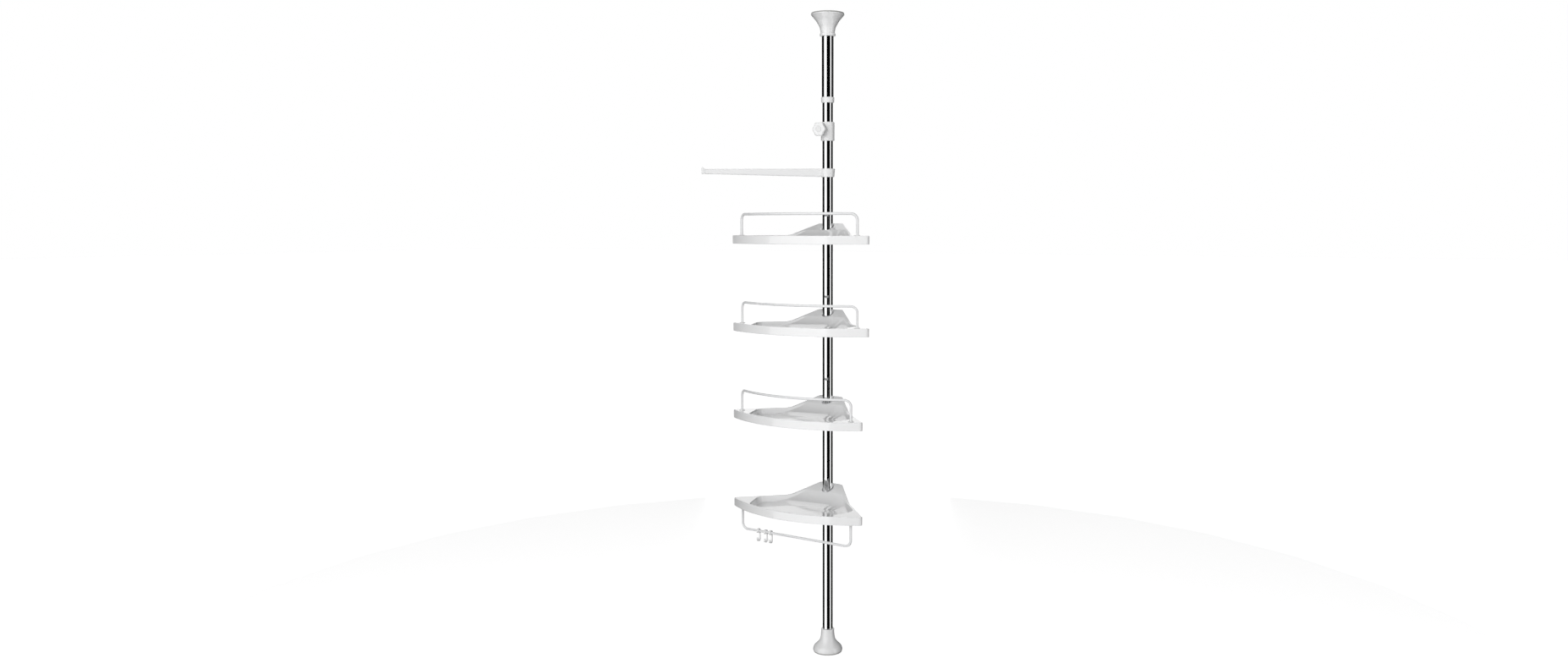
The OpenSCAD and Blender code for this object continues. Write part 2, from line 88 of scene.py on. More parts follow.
# The material of each of the record's slots
FINISHES = {
    "gloss_white": "gloss_white_plastic",
    "grip_plastic": "satin_plastic",
    "coated_wire": "wire_coating",
    "pad_rubber": "pad_rubber_skin",
    "chromed_tube": "bright_tube",
    "zinc_steel": "zinc_plate",
}
# The values that a noise mostly stays between
NOISE_SPAN = (0.3, 0.7)

# The cards that the tubes mirror, in metres: their distance from the pole and their two ends
CARD_RADIUS, CARD_HEIGHTS = 1.7, (-2.5, 4.5)


# ---- Sizes and colours that a user would change ----


def length(name, text, metres):
    """A property that holds a length."""
    return bpy.props.FloatProperty(
        name=name, description=text, default=metres, min=0.0, unit="LENGTH", precision=4
    )


def colour(name, text, value):
    """A property that holds a colour."""
    return bpy.props.FloatVectorProperty(
        name=name, description=text, default=value, size=3, min=0.0, max=1.0, subtype="COLOR"
    )


def number(name, text, value, high=10.0):
    """A property that holds a plain number."""
    return bpy.props.FloatProperty(name=name, description=text, default=value, min=0.0, max=high)


class CaddyShelfSettings(bpy.types.PropertyGroup):
    rim_height: length("Rim height", "Height of a shelf's outer face", 0.0195)
    bowl_depth: length("Bowl depth", "Depth of the bowl below the rim", 0.0135)
    wall: length("Wall", "Thickness of the moulded shelf", 0.0025)
    edge: length("Edge rounding", "Radius of the shelf's outer edges", 0.0016)
    bowl_slope: length("Bowl wall width", "Width over which the bowl's wall falls to its floor", 0.007)
    hump_height: length("Hump height", "Height of the hump behind the pole above the rim", 0.028)
    hole_radius: length("Hole radius", "Radius of the hole round the pole at its top", 0.0139)
    wire_radius: length("Wire radius", "Radius of the rails' coated wire", 0.003)
    rail_height: length("Rail height", "Height of a guard rail's wire above the rim", 0.049)
    towel_drop: length("Towel rail drop", "Depth of the towel rail's wire below the bottom shelf", 0.052)
    lower_turn: bpy.props.FloatProperty(
        name="Turn of the lower shelves",
        description="Turn of the two lower shelves round the pole, as they are set",
        default=math.radians(-4.0),
        subtype="ANGLE",
    )


class CaddyFinishSettings(bpy.types.PropertyGroup):
    plastic: colour("Gloss plastic", "Colour of the white moulded plastic", (0.86, 0.862, 0.865))
    grip: colour("Satin plastic", "Colour of the wedges and sockets", (0.80, 0.80, 0.80))
    wire: colour("Coated wire", "Colour of the rails' coating", (0.80, 0.805, 0.81))
    tube: colour("Bright tube", "Colour of the plated pole", (0.93, 0.935, 0.94))
    zinc: colour("Zinc plate", "Colour of the screw, nut and spring", (0.62, 0.63, 0.65))
    rubber: colour("Pad rubber", "Colour of the foot's and cap's pads", (0.42, 0.42, 0.41))


class CaddyStageSettings(bpy.types.PropertyGroup):
    distance: length("Camera distance", "Distance of the camera from the pole's axis", 2.7757)
    height: length("Camera height", "Height of the camera above the floor", 1.0364)
    azimuth: bpy.props.FloatProperty(
        name="Camera azimuth",
        description="Turn of the camera round the pole from the front",
        default=math.radians(29.25),
        subtype="ANGLE",
    )
    tilt: bpy.props.FloatProperty(
        name="Camera tilt",
        description="Tilt of the camera below the horizon",
        default=math.radians(4.985),
        subtype="ANGLE",
    )
    lens: number("Lens", "Focal length on a 36 mm wide sensor, in millimetres", 26.634, 200.0)
    shift: bpy.props.FloatProperty(
        name="Sideways shift", description="Shift of the picture, in widths", default=-0.02786
    )
    sky: number("Sky", "Brightness of the soft light at the horizon", 0.95)
    zenith: number("Zenith", "Share of that brightness that comes from straight above", 0.05)
    shade: number("Shaded side", "Share of that brightness that comes from the right", 0.03)
    backdrop: number("Backdrop", "Brightness of the surroundings as glossy surfaces mirror them", 1.15)
    key: number("Key light", "Power of the large soft light at the front left, in watts", 90.0, 2000.0)
    floor_glow: number("Floor glow", "Light that the pale floor gives off by itself", 0.66)


# ---- Curves ----


def mm(metres):
    """Millimetres from metres."""
    return metres / MM


def node_box(name):
    """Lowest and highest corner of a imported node, in millimetres."""
    low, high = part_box(name)
    return np.array(low) / MM, np.array(high) / MM


def rounded(corners, radii, closed=False, step=6.0, hold=0.0):
    """A path of straight stretches joined by arcs: an arc of radius r leaves each stretch at
    r tan(bend / 2) from the corner. step is the arc's angle between points, in degrees, and hold adds
    a point that far before and after each arc."""
    corners = np.asarray(corners, float)
    count = len(corners)
    parts = []
    for i in range(count):
        corner = corners[i]
        if not closed and i in (0, count - 1):
            parts.append(corner[None])
            continue
        u = corner - corners[i - 1]
        w = corners[(i + 1) % count] - corner
        u, w = u / np.hypot(*u), w / np.hypot(*w)
        bend = math.acos(float(np.clip(u @ w, -1, 1)))
        if radii[i] <= 0 or bend < 1e-4:
            parts.append(corner[None])
            continue
        side = math.copysign(1.0, u[0] * w[1] - u[1] * w[0])
        start = corner - u * radii[i] * math.tan(bend / 2)
        spoke = -side * np.array([-u[1], u[0]])
        across = np.array([-spoke[1], spoke[0]])
        t = side * np.linspace(0, bend, max(3, math.ceil(math.degrees(bend) / step) + 1))[:, None]
        arc = start - radii[i] * spoke + radii[i] * (np.cos(t) * spoke + np.sin(t) * across)
        if hold:
            arc = np.vstack([arc[:1] - hold * u, arc, arc[-1:] + hold * w])
        parts.append(arc)
    return np.vstack(parts)


def both_sides(half, radii):
    """A right half of an outline and its mirror image. The first corner lies on the mirror line."""
    half = np.asarray(half, float)
    return np.vstack([half, half[:0:-1] * (-1, 1)]), list(radii) + list(radii[:0:-1])


def through(points, count=8):
    """A smooth curve through points: on each stretch a cubic whose end slopes are half the step
    between the neighbours."""
    p = np.asarray(points, float)
    p = np.vstack([2 * p[0] - p[1], p, 2 * p[-1] - p[-2]])
    t = np.linspace(0, 1, count, endpoint=False)[None, :, None]
    a, b, c, d = (p[i : len(p) - 3 + i, None] for i in range(4))
    curve = 0.5 * (
        2 * b + (c - a) * t + (2 * a - 5 * b + 4 * c - d) * t**2 + (3 * b - a - 3 * c + d) * t**3
    )
    return np.vstack([curve.reshape(-1, p.shape[1]), p[-2:-1]])


def even(path, step):
    """Points at equal distances along a closed path."""
    ring = np.vstack([path, path[:1]])
    run = np.concatenate([[0], np.cumsum(np.hypot(*np.diff(ring, axis=0).T))])
    at = np.linspace(0, run[-1], math.ceil(run[-1] / step), endpoint=False)
    return np.stack([np.interp(at, run, ring[:, k]) for k in (0, 1)], -1)


def moved_in(ring, distance):
    """A closed counterclockwise outline moved inward by a distance along its normals."""
    along = np.roll(ring, -1, 0) - np.roll(ring, 1, 0)
    along /= np.hypot(*along.T)[:, None]
    return ring + distance * np.stack([-along[:, 1], along[:, 0]], -1)


def reach(ring, angles):
    """Distance from the pole's axis to an outline, along each angle."""
    return np.interp(angles, np.arctan2(ring[:, 1], ring[:, 0]), np.hypot(*ring.T), period=2 * np.pi)


def soft_step(x):
    """Zero below 0, one above 1, and 3x^2 - 2x^3 between."""
    x = np.clip(x, 0, 1)
    return x * x * (3 - 2 * x)


# ---- Surfaces ----


def lathe(profile, turns=128):
    """Each point (radius, height) of a profile goes round the Z axis in a circle."""
    a = np.linspace(0, 2 * np.pi, turns, endpoint=False)
    r, z = (np.asarray(profile, float)[:, k, None] for k in (0, 1))
    return np.stack([r * np.cos(a), r * np.sin(a), z + 0 * a], -1)


def tube(r_out, r_in, low, high, edge=0.08):
    """A round tube: a rectangle with rounded corners, turned about the Z axis. It closes on itself."""
    corners = [(r_out, low), (r_out, high), (r_in, high), (r_in, low)]
    return lathe(rounded(corners, [edge] * 4, True, 30, 0.2))


def sweep(path, section, side):
    """A closed section carried along a path. The section's first axis is side, made square to the
    path, and its second is square to both."""
    path, side = np.asarray(path, float), np.asarray(side, float)
    along = np.gradient(path, axis=0)
    along /= np.linalg.norm(along, axis=1)[:, None]
    first = side - (along * side).sum(1)[:, None] * along
    first /= np.linalg.norm(first, axis=1)[:, None]
    second = np.cross(along, first)
    return path[:, None] + section[:, 0, None] * first[:, None] + section[:, 1, None] * second[:, None]


def circle(radius, count=24):
    """Points of a circle."""
    a = np.linspace(0, 2 * np.pi, count, endpoint=False)
    return radius * np.stack([np.cos(a), np.sin(a)], -1)


def rounded_box(width, height, radius):
    """Outline of a rectangle with rounded corners, centred on zero."""
    w, h = width / 2, height / 2
    return rounded([(-w, -h), (w, -h), (w, h), (-w, h)], [radius] * 4, True, 18, 0.1)


def turned(points, angle):
    """Points turned about the Z axis."""
    c, s = math.cos(angle), math.sin(angle)
    x, y, z = points[..., 0], points[..., 1], points[..., 2]
    return np.stack([c * x - s * y, s * x + c * y, z], -1)


def on_knob_axis(points, height):
    """Points made round the Z axis, laid along -Y at a height: what was up points to the front."""
    return np.stack([points[..., 0], -points[..., 2], points[..., 1] + height], -1)


def faces_of(rows, cols, loop):
    """Quads between neighbouring rows and columns of a grid whose columns close. Where its rows don't
    close, a fan of triangles round an added middle point shuts each end."""
    i, j = np.meshgrid(np.arange(rows if loop else rows - 1), np.arange(cols), indexing="ij")
    next_i, next_j = (i + 1) % rows, (j + 1) % cols
    quads = [i * cols + j, i * cols + next_j, next_i * cols + next_j, next_i * cols + j]
    quads = np.stack(quads, -1).reshape(-1, 4)
    if loop:
        return quads, np.empty((0, 3), int)
    j = np.arange(cols)
    k = (j + 1) % cols
    middle = np.full(cols, rows * cols)
    last = (rows - 1) * cols
    low = np.stack([middle, k, j], -1)
    high = np.stack([middle + 1, last + j, last + k], -1)
    return quads, np.vstack([low, high])


def outward(points, quads, tris):
    """The same faces, turned round if the volume they hold comes out negative."""
    three = np.vstack([quads[:, :3], quads[:, [0, 2, 3]], tris])
    a, b, c = points[three[:, 0]], points[three[:, 1]], points[three[:, 2]]
    if (np.cross(a, b) * c).sum() < 0:
        return quads[:, ::-1], tris[:, ::-1]
    return quads, tris


def piece(name, grids, body, slot, *nodes, finish=None):
    """One mesh object from grids of points in millimetres. A grid is (points, loop), where loop says
    that its rows close too. It rides on a body, takes its slot's material unless another finish is
    given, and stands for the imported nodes."""
    points, quads, tris, start = [], [], [], 0
    for grid, loop in grids:
        rows, cols = grid.shape[:2]
        flat = grid.reshape(-1, 3)
        if not loop:
            flat = np.vstack([flat, grid[0].mean(0), grid[-1].mean(0)])
        fours, threes = outward(flat - flat.mean(0), *faces_of(rows, cols, loop))
        points.append(flat)
        quads.append(fours + start)
        tris.append(threes + start)
        start += len(flat)
    points, quads, tris = np.vstack(points), np.vstack(quads), np.vstack(tris)
    corners = np.concatenate([quads.ravel(), tris.ravel()])
    starts = np.concatenate([4 * np.arange(len(quads)), quads.size + 3 * np.arange(len(tris))])
    mesh = bpy.data.meshes.new(name)
    mesh.vertices.add(len(points))
    mesh.vertices.foreach_set("co", (points * MM).astype(np.float32).ravel())
    mesh.loops.add(len(corners))
    mesh.loops.foreach_set("vertex_index", corners.astype(np.int32))
    mesh.polygons.add(len(starts))
    mesh.polygons.foreach_set("loop_start", starts.astype(np.int32))
    mesh.polygons.foreach_set("use_smooth", np.ones(len(starts), bool))
    mesh.update(calc_edges=True)
    mesh.validate()
    mesh.set_sharp_from_angle(angle=SHARP_ANGLE)
    mesh.materials.append(bpy.data.materials[finish or FINISHES[slot]])
    made = bpy.data.objects.new(name, mesh)
    bpy.context.scene.collection.objects.link(made)
    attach(made, body)
    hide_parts(*nodes)


# ---- Materials ----


def effect(name, inputs, outputs):
    """An empty shader node group whose inputs and outputs are plain values. It comes with its two end
    nodes and the Object coordinates of the piece that wears it."""
    group = bpy.data.node_groups.new(name, "ShaderNodeTree")
    for label, value in inputs.items():
        socket = group.interface.new_socket(label, in_out="INPUT", socket_type="NodeSocketFloat")
        socket.default_value = value
    for label in outputs:
        group.interface.new_socket(label, in_out="OUTPUT", socket_type="NodeSocketFloat")
    place = group.nodes.new("ShaderNodeTexCoord").outputs["Object"]
    return group, group.nodes.new("NodeGroupInput"), group.nodes.new("NodeGroupOutput"), place


def noise(tree, scale, detail, roughness=0.5):
    """A noise texture node in a tree."""
    node = tree.nodes.new("ShaderNodeTexNoise")
    node.inputs["Scale"].default_value = scale
    node.inputs["Detail"].default_value = detail
    node.inputs["Roughness"].default_value = roughness
    return node


def make_effects():
    """The three effects that the materials share."""
    # The skin of moulded plastic: a fine grain, and flow marks that vary slowly
    group, start, end, place = effect("moulded_skin", {"Grain": 900.0, "Flow": 22.0}, ["Height", "Mottle"])
    grain, flow = noise(group, 900, 3, 0.55), noise(group, 22, 4, 0.6)
    for node, scale, result in ((grain, "Grain", "Height"), (flow, "Flow", "Mottle")):
        group.links.new(place, node.inputs["Vector"])
        group.links.new(start.outputs[scale], node.inputs["Scale"])
        group.links.new(node.outputs["Fac"], end.inputs[result])

    # Drawn lines: two noises stretched along the tube
    group, start, end, place = effect("drawn_lines", {"Fineness": 1.0}, ["Height", "Streak"])
    drawn = group.nodes.new("ShaderNodeMapping")
    drawn.inputs["Scale"].default_value = (1.0, 1.0, 0.012)
    scaled = group.nodes.new("ShaderNodeVectorMath")
    scaled.operation = "SCALE"
    group.links.new(place, drawn.inputs["Vector"])
    group.links.new(drawn.outputs["Vector"], scaled.inputs[0])
    group.links.new(start.outputs["Fineness"], scaled.inputs["Scale"])
    for node, result in ((noise(group, 1400, 2), "Height"), (noise(group, 260, 3, 0.6), "Streak")):
        group.links.new(scaled.outputs["Vector"], node.inputs["Vector"])
        group.links.new(node.outputs["Fac"], end.inputs[result])

    # Handling marks: the product of two noises, from plain below 0.2 to marked above 0.42
    group, start, end, place = effect("handling_marks", {"Size": 9.0}, ["Marks"])
    cloud, blot = noise(group, 9, 5, 0.62), noise(group, 40, 2)
    mixed = group.nodes.new("ShaderNodeMath")
    mixed.operation = "MULTIPLY"
    for node, target in zip((cloud, blot), mixed.inputs):
        group.links.new(place, node.inputs["Vector"])
        group.links.new(node.outputs["Fac"], target)
    group.links.new(start.outputs["Size"], cloud.inputs["Scale"])
    ramp = ranged(group, mixed.outputs["Value"], (0.2, 0.42), (0.0, 1.0), end.inputs["Marks"])
    ramp.interpolation_type = "SMOOTHSTEP"


def shader_of(name):
    """A new material, its node tree and its Principled BSDF."""
    material = bpy.data.materials.new(name)
    material.use_nodes = True
    return material, material.node_tree, material.node_tree.nodes["Principled BSDF"]


def placed(tree, group, **values):
    """An effect's group node in a material, with its own values."""
    node = tree.nodes.new("ShaderNodeGroup")
    node.node_tree = bpy.data.node_groups[group]
    for label, value in values.items():
        node.inputs[label].default_value = value
    return node


def ranged(tree, source, span, result, target):
    """A value that goes from one end of result to the other as its source crosses a span."""
    node = tree.nodes.new("ShaderNodeMapRange")
    for label, value in zip(("From Min", "From Max", "To Min", "To Max"), (*span, *result)):
        node.inputs[label].default_value = value
    tree.links.new(source, node.inputs["Value"])
    tree.links.new(node.outputs["Result"], target)
    return node


def tinted(tree, source, base, darker, target):
    """A colour that varies between base and a slightly darker shade of it."""
    node = tree.nodes.new("ShaderNodeMix")
    node.data_type = "RGBA"
    node.inputs[6].default_value = (*base, 1)
    node.inputs[7].default_value = (*(c * darker for c in base), 1)
    tree.links.new(source, node.inputs[0])
    tree.links.new(node.outputs[2], target)


def bumped(tree, source, strength, depth, shader):
    """Small height differences that tilt the surface's normal."""
    node = tree.nodes.new("ShaderNodeBump")
    node.inputs["Strength"].default_value = strength
    node.inputs["Distance"].default_value = depth
    tree.links.new(source, node.inputs["Height"])
    tree.links.new(node.outputs["Normal"], shader.inputs["Normal"])


def moulded(name, base, rough, grain, strength, coat=0.0, darker=0.975):
    """Moulded plastic or coating: a faint grain, slow flow marks in colour and gloss, and a clear skin
    over glossy kinds."""
    _, tree, shader = shader_of(name)
    skin = placed(tree, "moulded_skin", Grain=grain, Flow=20.0)
    marks = placed(tree, "handling_marks", Size=8.0)
    tinted(tree, skin.outputs["Mottle"], base, darker, shader.inputs["Base Color"])
    gloss = (rough * 0.85, rough * 1.3)
    ranged(tree, marks.outputs["Marks"], NOISE_SPAN, gloss, shader.inputs["Roughness"])
    bumped(tree, skin.outputs["Height"], strength, 0.00005, shader)
    shader.inputs["IOR"].default_value = 1.49
    shader.inputs["Coat Weight"].default_value = coat
    shader.inputs["Coat Roughness"].default_value = 0.06


def plated(name, base, rough, strength, fineness):
    """Bright metal with fine lines along the tube and slow changes of gloss."""
    _, tree, shader = shader_of(name)
    lines = placed(tree, "drawn_lines", Fineness=fineness)
    marks = placed(tree, "handling_marks", Size=14.0)
    tinted(tree, marks.outputs["Marks"], base, 0.94, shader.inputs["Base Color"])
    gloss = (rough * 0.7, rough * 1.5)
    ranged(tree, lines.outputs["Streak"], NOISE_SPAN, gloss, shader.inputs["Roughness"])
    bumped(tree, lines.outputs["Height"], strength, 0.00002, shader)
    shader.inputs["Metallic"].default_value = 1.0


def make_finishes(colours):
    """All materials of the caddy."""
    make_effects()
    moulded("gloss_white_plastic", colours.plastic, rough=0.13, grain=700, strength=0.04, coat=0.8)
    moulded("satin_plastic", colours.grip, rough=0.42, grain=900, strength=0.25)
    moulded("wire_coating", colours.wire, rough=0.22, grain=500, strength=0.20, coat=0.5, darker=0.96)
    moulded("pad_rubber_skin", colours.rubber, rough=0.68, grain=1500, strength=0.6, darker=0.85)
    plated("bright_tube", colours.tube, rough=0.02, strength=0.02, fineness=1.0)
    plated("zinc_plate", colours.zinc, rough=0.26, strength=0.2, fineness=0.6)


# ---- Shelf ----


def hump_at(y, height):
    """Height of a shelf's top above the rim: a parabola, then a straight ramp, then level."""
    slope = height / (HUMP_END - HUMP_START)
    t = y - HUMP_START
    start = slope * np.clip(t + HUMP_SOFT, 0, None) ** 2 / (4 * HUMP_SOFT)
    return np.where(t < HUMP_SOFT, start, np.minimum(height, slope * t))


def floor_at(y, depth, height):
    """Height of the bowl's floor: level, then a parabola that rises to the top's height in front of the
    pole, then the top itself."""
    lift = hump_at(np.array(float(APRON_END)), height) + depth
    rising = -depth + lift * np.clip((y - APRON_START) / (APRON_END - APRON_START), 0, 1) ** 2
    return np.where(y < APRON_END, rising, hump_at(y, height))


def ray_angles(*rings):
    """Angles of the rays from the pole: one for each 5 mm of an outline and each 9 degrees that it
    bends."""
    count, gap, bend = 6000, 5.0, 9.0
    fine = np.linspace(-np.pi, np.pi, count + 1)
    density = np.zeros(count)
    for ring in rings:
        r = reach(ring, fine)
        step = np.diff(np.stack([r * np.cos(fine), r * np.sin(fine)], -1), axis=0)
        heading = np.unwrap(np.arctan2(step[:, 1], step[:, 0]))
        density += np.hypot(*step.T) / gap + np.degrees(np.abs(np.gradient(heading))) / bend
    run = np.concatenate([[0], np.cumsum(density)])
    return np.interp(np.linspace(0, run[-1], math.ceil(run[-1]), endpoint=False), run, fine)


def tray_grid(shelf):
    """A shelf as one closed grid. Each column is a ray from the pole, and the rows run from the hole
    over the bowl's floor, up its wall, across the rim, down the outer face and back under the floor to
    the hub: height is a function of the ray and of the row."""
    rim, depth, wall = mm(shelf.rim_height), mm(shelf.bowl_depth), mm(shelf.wall)
    height, hole = mm(shelf.hump_height), mm(shelf.hole_radius)
    edge, slope = mm(shelf.edge), mm(shelf.bowl_slope)
    outer = even(rounded(*both_sides(SHELF_HALF, SHELF_RADII), True, 2.0), 0.5)
    bowl = even(rounded(*both_sides(BOWL_HALF, BOWL_RADII), True, 2.0), 0.5)
    angles = ray_angles(outer, bowl)
    sine = np.sin(angles)
    rows = []

    def top(r):
        return hump_at(r * sine, height)

    def low(r):
        return floor_at(r * sine, depth, height)

    def row(r, z):
        rows.append(np.stack([r * np.cos(angles), r * sine, z + 0 * r], -1))

    # The hole's rounded lip, and the floor as far as the foot of the bowl's wall
    lip = 1.5
    for a in np.linspace(0, np.pi / 2, 5):
        r = hole + lip * (1 - np.cos(a)) + 0 * angles
        row(r, low(r) - lip * (1 - np.sin(a)))
    inner = hole + lip
    nearest = inner + 1.2
    foot = np.maximum(reach(moved_in(bowl, slope), angles), nearest)
    for t in np.linspace(0, 1, 34)[1:]:
        r = inner + (foot - inner) * t
        row(r, low(r))

    # The bowl's wall, which follows 6t^5 - 15t^4 + 10t^3 from the floor to the top
    for n, left in enumerate(np.linspace(1, 0, 13)[1:], 1):
        r = np.maximum(reach(moved_in(bowl, slope * left), angles), nearest + 0.15 * n)
        t = 1 - left
        row(r, low(r) + (top(r) - low(r)) * (t**3 * (t * (t * 6 - 15) + 10)))

    # The rim, its rounded edge, the outer face and the rounded lower edge
    brim, shoulder = r, reach(moved_in(outer, edge), angles)
    for t in (0.12, 0.5, 0.88):
        r = brim + (shoulder - brim) * t
        row(r, top(r))
    for a in np.linspace(0, np.pi / 2, 6):
        r = reach(moved_in(outer, edge * (1 - np.sin(a))), angles)
        row(r, top(r) - edge * (1 - np.cos(a)))
    r = reach(outer, angles)
    for t in (0.06, 0.5, 0.94):
        row(r, (1 - t) * (top(r) - edge) + t * (1 - rim))
    for a in np.linspace(0, np.pi / 2, 4):
        row(reach(moved_in(outer, 1 - np.cos(a)), angles), -rim + 1 - np.sin(a))

    # Up inside the outer face, along under the rim, and under the floor to the hub
    skirt = reach(moved_in(outer, wall), angles)
    row(skirt, -rim + 0 * skirt)
    around = reach(moved_in(bowl, -wall), angles)
    share = soft_step((skirt - around - 0.5) / 3)
    beside = np.minimum(around, skirt - 0.3)
    roof = low(beside) + (top(beside) - low(beside)) * share - wall
    row(skirt, roof)
    row(beside, roof)
    under = np.maximum(reach(moved_in(bowl, slope - wall), angles), HUB_RADIUS + 1.4)
    under = np.minimum(under, skirt - 0.5)
    hub = np.minimum(HUB_RADIUS, skirt - 0.9)
    for t in np.linspace(0, 1, 12):
        r = under + (hub + 0.4 - under) * t
        row(r, low(r) - wall)
    row(hub, low(hub) - wall - 0.6)
    row(hub, 0.8 - rim)
    row(hub - 0.8, -rim)

    # The wedge's conical seat, back up to the hole
    row(hole + SEAT_WIDTH + 0.3 + 0 * angles, -rim)
    row(hole + SEAT_WIDTH + 0 * angles, SEAT_LOW)
    row(hole + 0 * angles, SEAT_HIGH)
    return np.stack(rows)


def rail_grid(radius, high, bowed):
    """A wire carried along a rail's path: up one post, round a bend, along the bar and down the other
    post. A bowed rail's bar is an arc round a point behind the pole, and a straight one's runs from
    post to post."""
    c, s = math.cos(RAIL_TURN), math.sin(RAIL_TURN)
    post = np.array([RAIL_BAR * s + RAIL_BEND * c, RAIL_MIDDLE - RAIL_BAR * c + RAIL_BEND * s])
    away = np.array([c, s] if bowed else [1.0, 0.0])
    a = np.linspace(0, np.pi / 2, 13)[:, None]
    level = high - RAIL_BEND
    corner = np.hstack([post - RAIL_BEND * (1 - np.cos(a)) * away, level + RAIL_BEND * np.sin(a)])
    stem = np.column_stack([np.tile(post, (8, 1)), np.linspace(-RAIL_DEEP, level, 9)[:-1]])
    t = np.linspace(1, 0, 60)[1:]
    if bowed:
        bar = [RAIL_BAR * np.sin(RAIL_TURN * t), RAIL_MIDDLE - RAIL_BAR * np.cos(RAIL_TURN * t), high + 0 * t]
    else:
        bar = [corner[-1, 0] * t, post[1] + 0 * t, high + 0 * t]
    half = np.vstack([stem, corner, np.column_stack(bar)])
    path = np.vstack([half, half[-2::-1] * (-1, 1, 1)])
    return sweep(path, circle(radius, 28), (0, 1, 0)), path


def on_shelf(points, shelf, settings):
    """Points of a shelf's own frame, turned and lifted to where that shelf is set."""
    low, _ = node_box(f"shelf_{shelf}_tray")
    angle = settings.lower_turn if shelf > 2 else 0.0
    return turned(points, angle) + (0, 0, low[2] + mm(settings.rim_height))


def hanging(points, settings):
    """Points of a rail's frame turned upside down, under the bottom shelf."""
    return points * (1, 1, -1) - (0, 0, mm(settings.rim_height))


def hook_grids():
    """A hook as two flat strokes of plastic: a C that clips over the wire, and a shank that ends in a J.
    The section is carried along each stroke and is smaller at its two ends."""
    section = rounded_box(3.0, HOOK_WIDTH, 0.9)
    a = np.radians(np.linspace(-52, 262, 60))
    clip = 4.8 * np.stack([np.cos(a), np.sin(a)], -1)
    shank = rounded([(-5, -1), (-5, -24), (5, -24), (5, -15)], [0, 4.99, 4.99, 0], step=8)
    grids = []
    for path in (clip, shank):
        along = np.gradient(path, axis=0)
        along /= np.hypot(*along.T)[:, None]
        side = np.stack([-along[:, 1], along[:, 0]], -1)
        size = np.ones((len(path), 1, 1))
        size[[0, -1]] = 0.72
        flat = path[:, None] + section[None, :, :1] * size * side[:, None]
        grids.append(np.concatenate([flat, section[None, :, 1:] * size], -1))
    return grids


# ---- Operators ----


class CADDY_OT_finishes(bpy.types.Operator):
    """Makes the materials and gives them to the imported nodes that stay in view"""

    bl_idname = "caddy.finishes"
    bl_label = "Finishes"

    def execute(self, context):
        make_finishes(context.scene.caddy_finish)
        for part in frame["record"]["subparts"]:
            node = frame["nodes"][part["node"]]
            node.data.materials.clear()
            node.data.materials.append(bpy.data.materials[FINISHES[part["material_slot"]]])
        return {"FINISHED"}


class CADDY_OT_pole(bpy.types.Operator):
    """Builds the plated tubes of the pole"""

    bl_idname = "caddy.pole"
    bl_label = "Pole tubes"

    def execute(self, context):
        for node, body in (
            ("mast_tube_lower", "mast"),
            ("mast_tube_middle", "mast"),
            ("mast_tube_upper", "mast"),
            ("outer_tube", "upper_pole"),
        ):
            low, high = node_box(node)
            grid = tube(high[0], high[0] - TUBE_WALL, low[2], high[2])
            piece(node + "_plated", [(grid, True)], body, "chromed_tube", node)
        return {"FINISHED"}


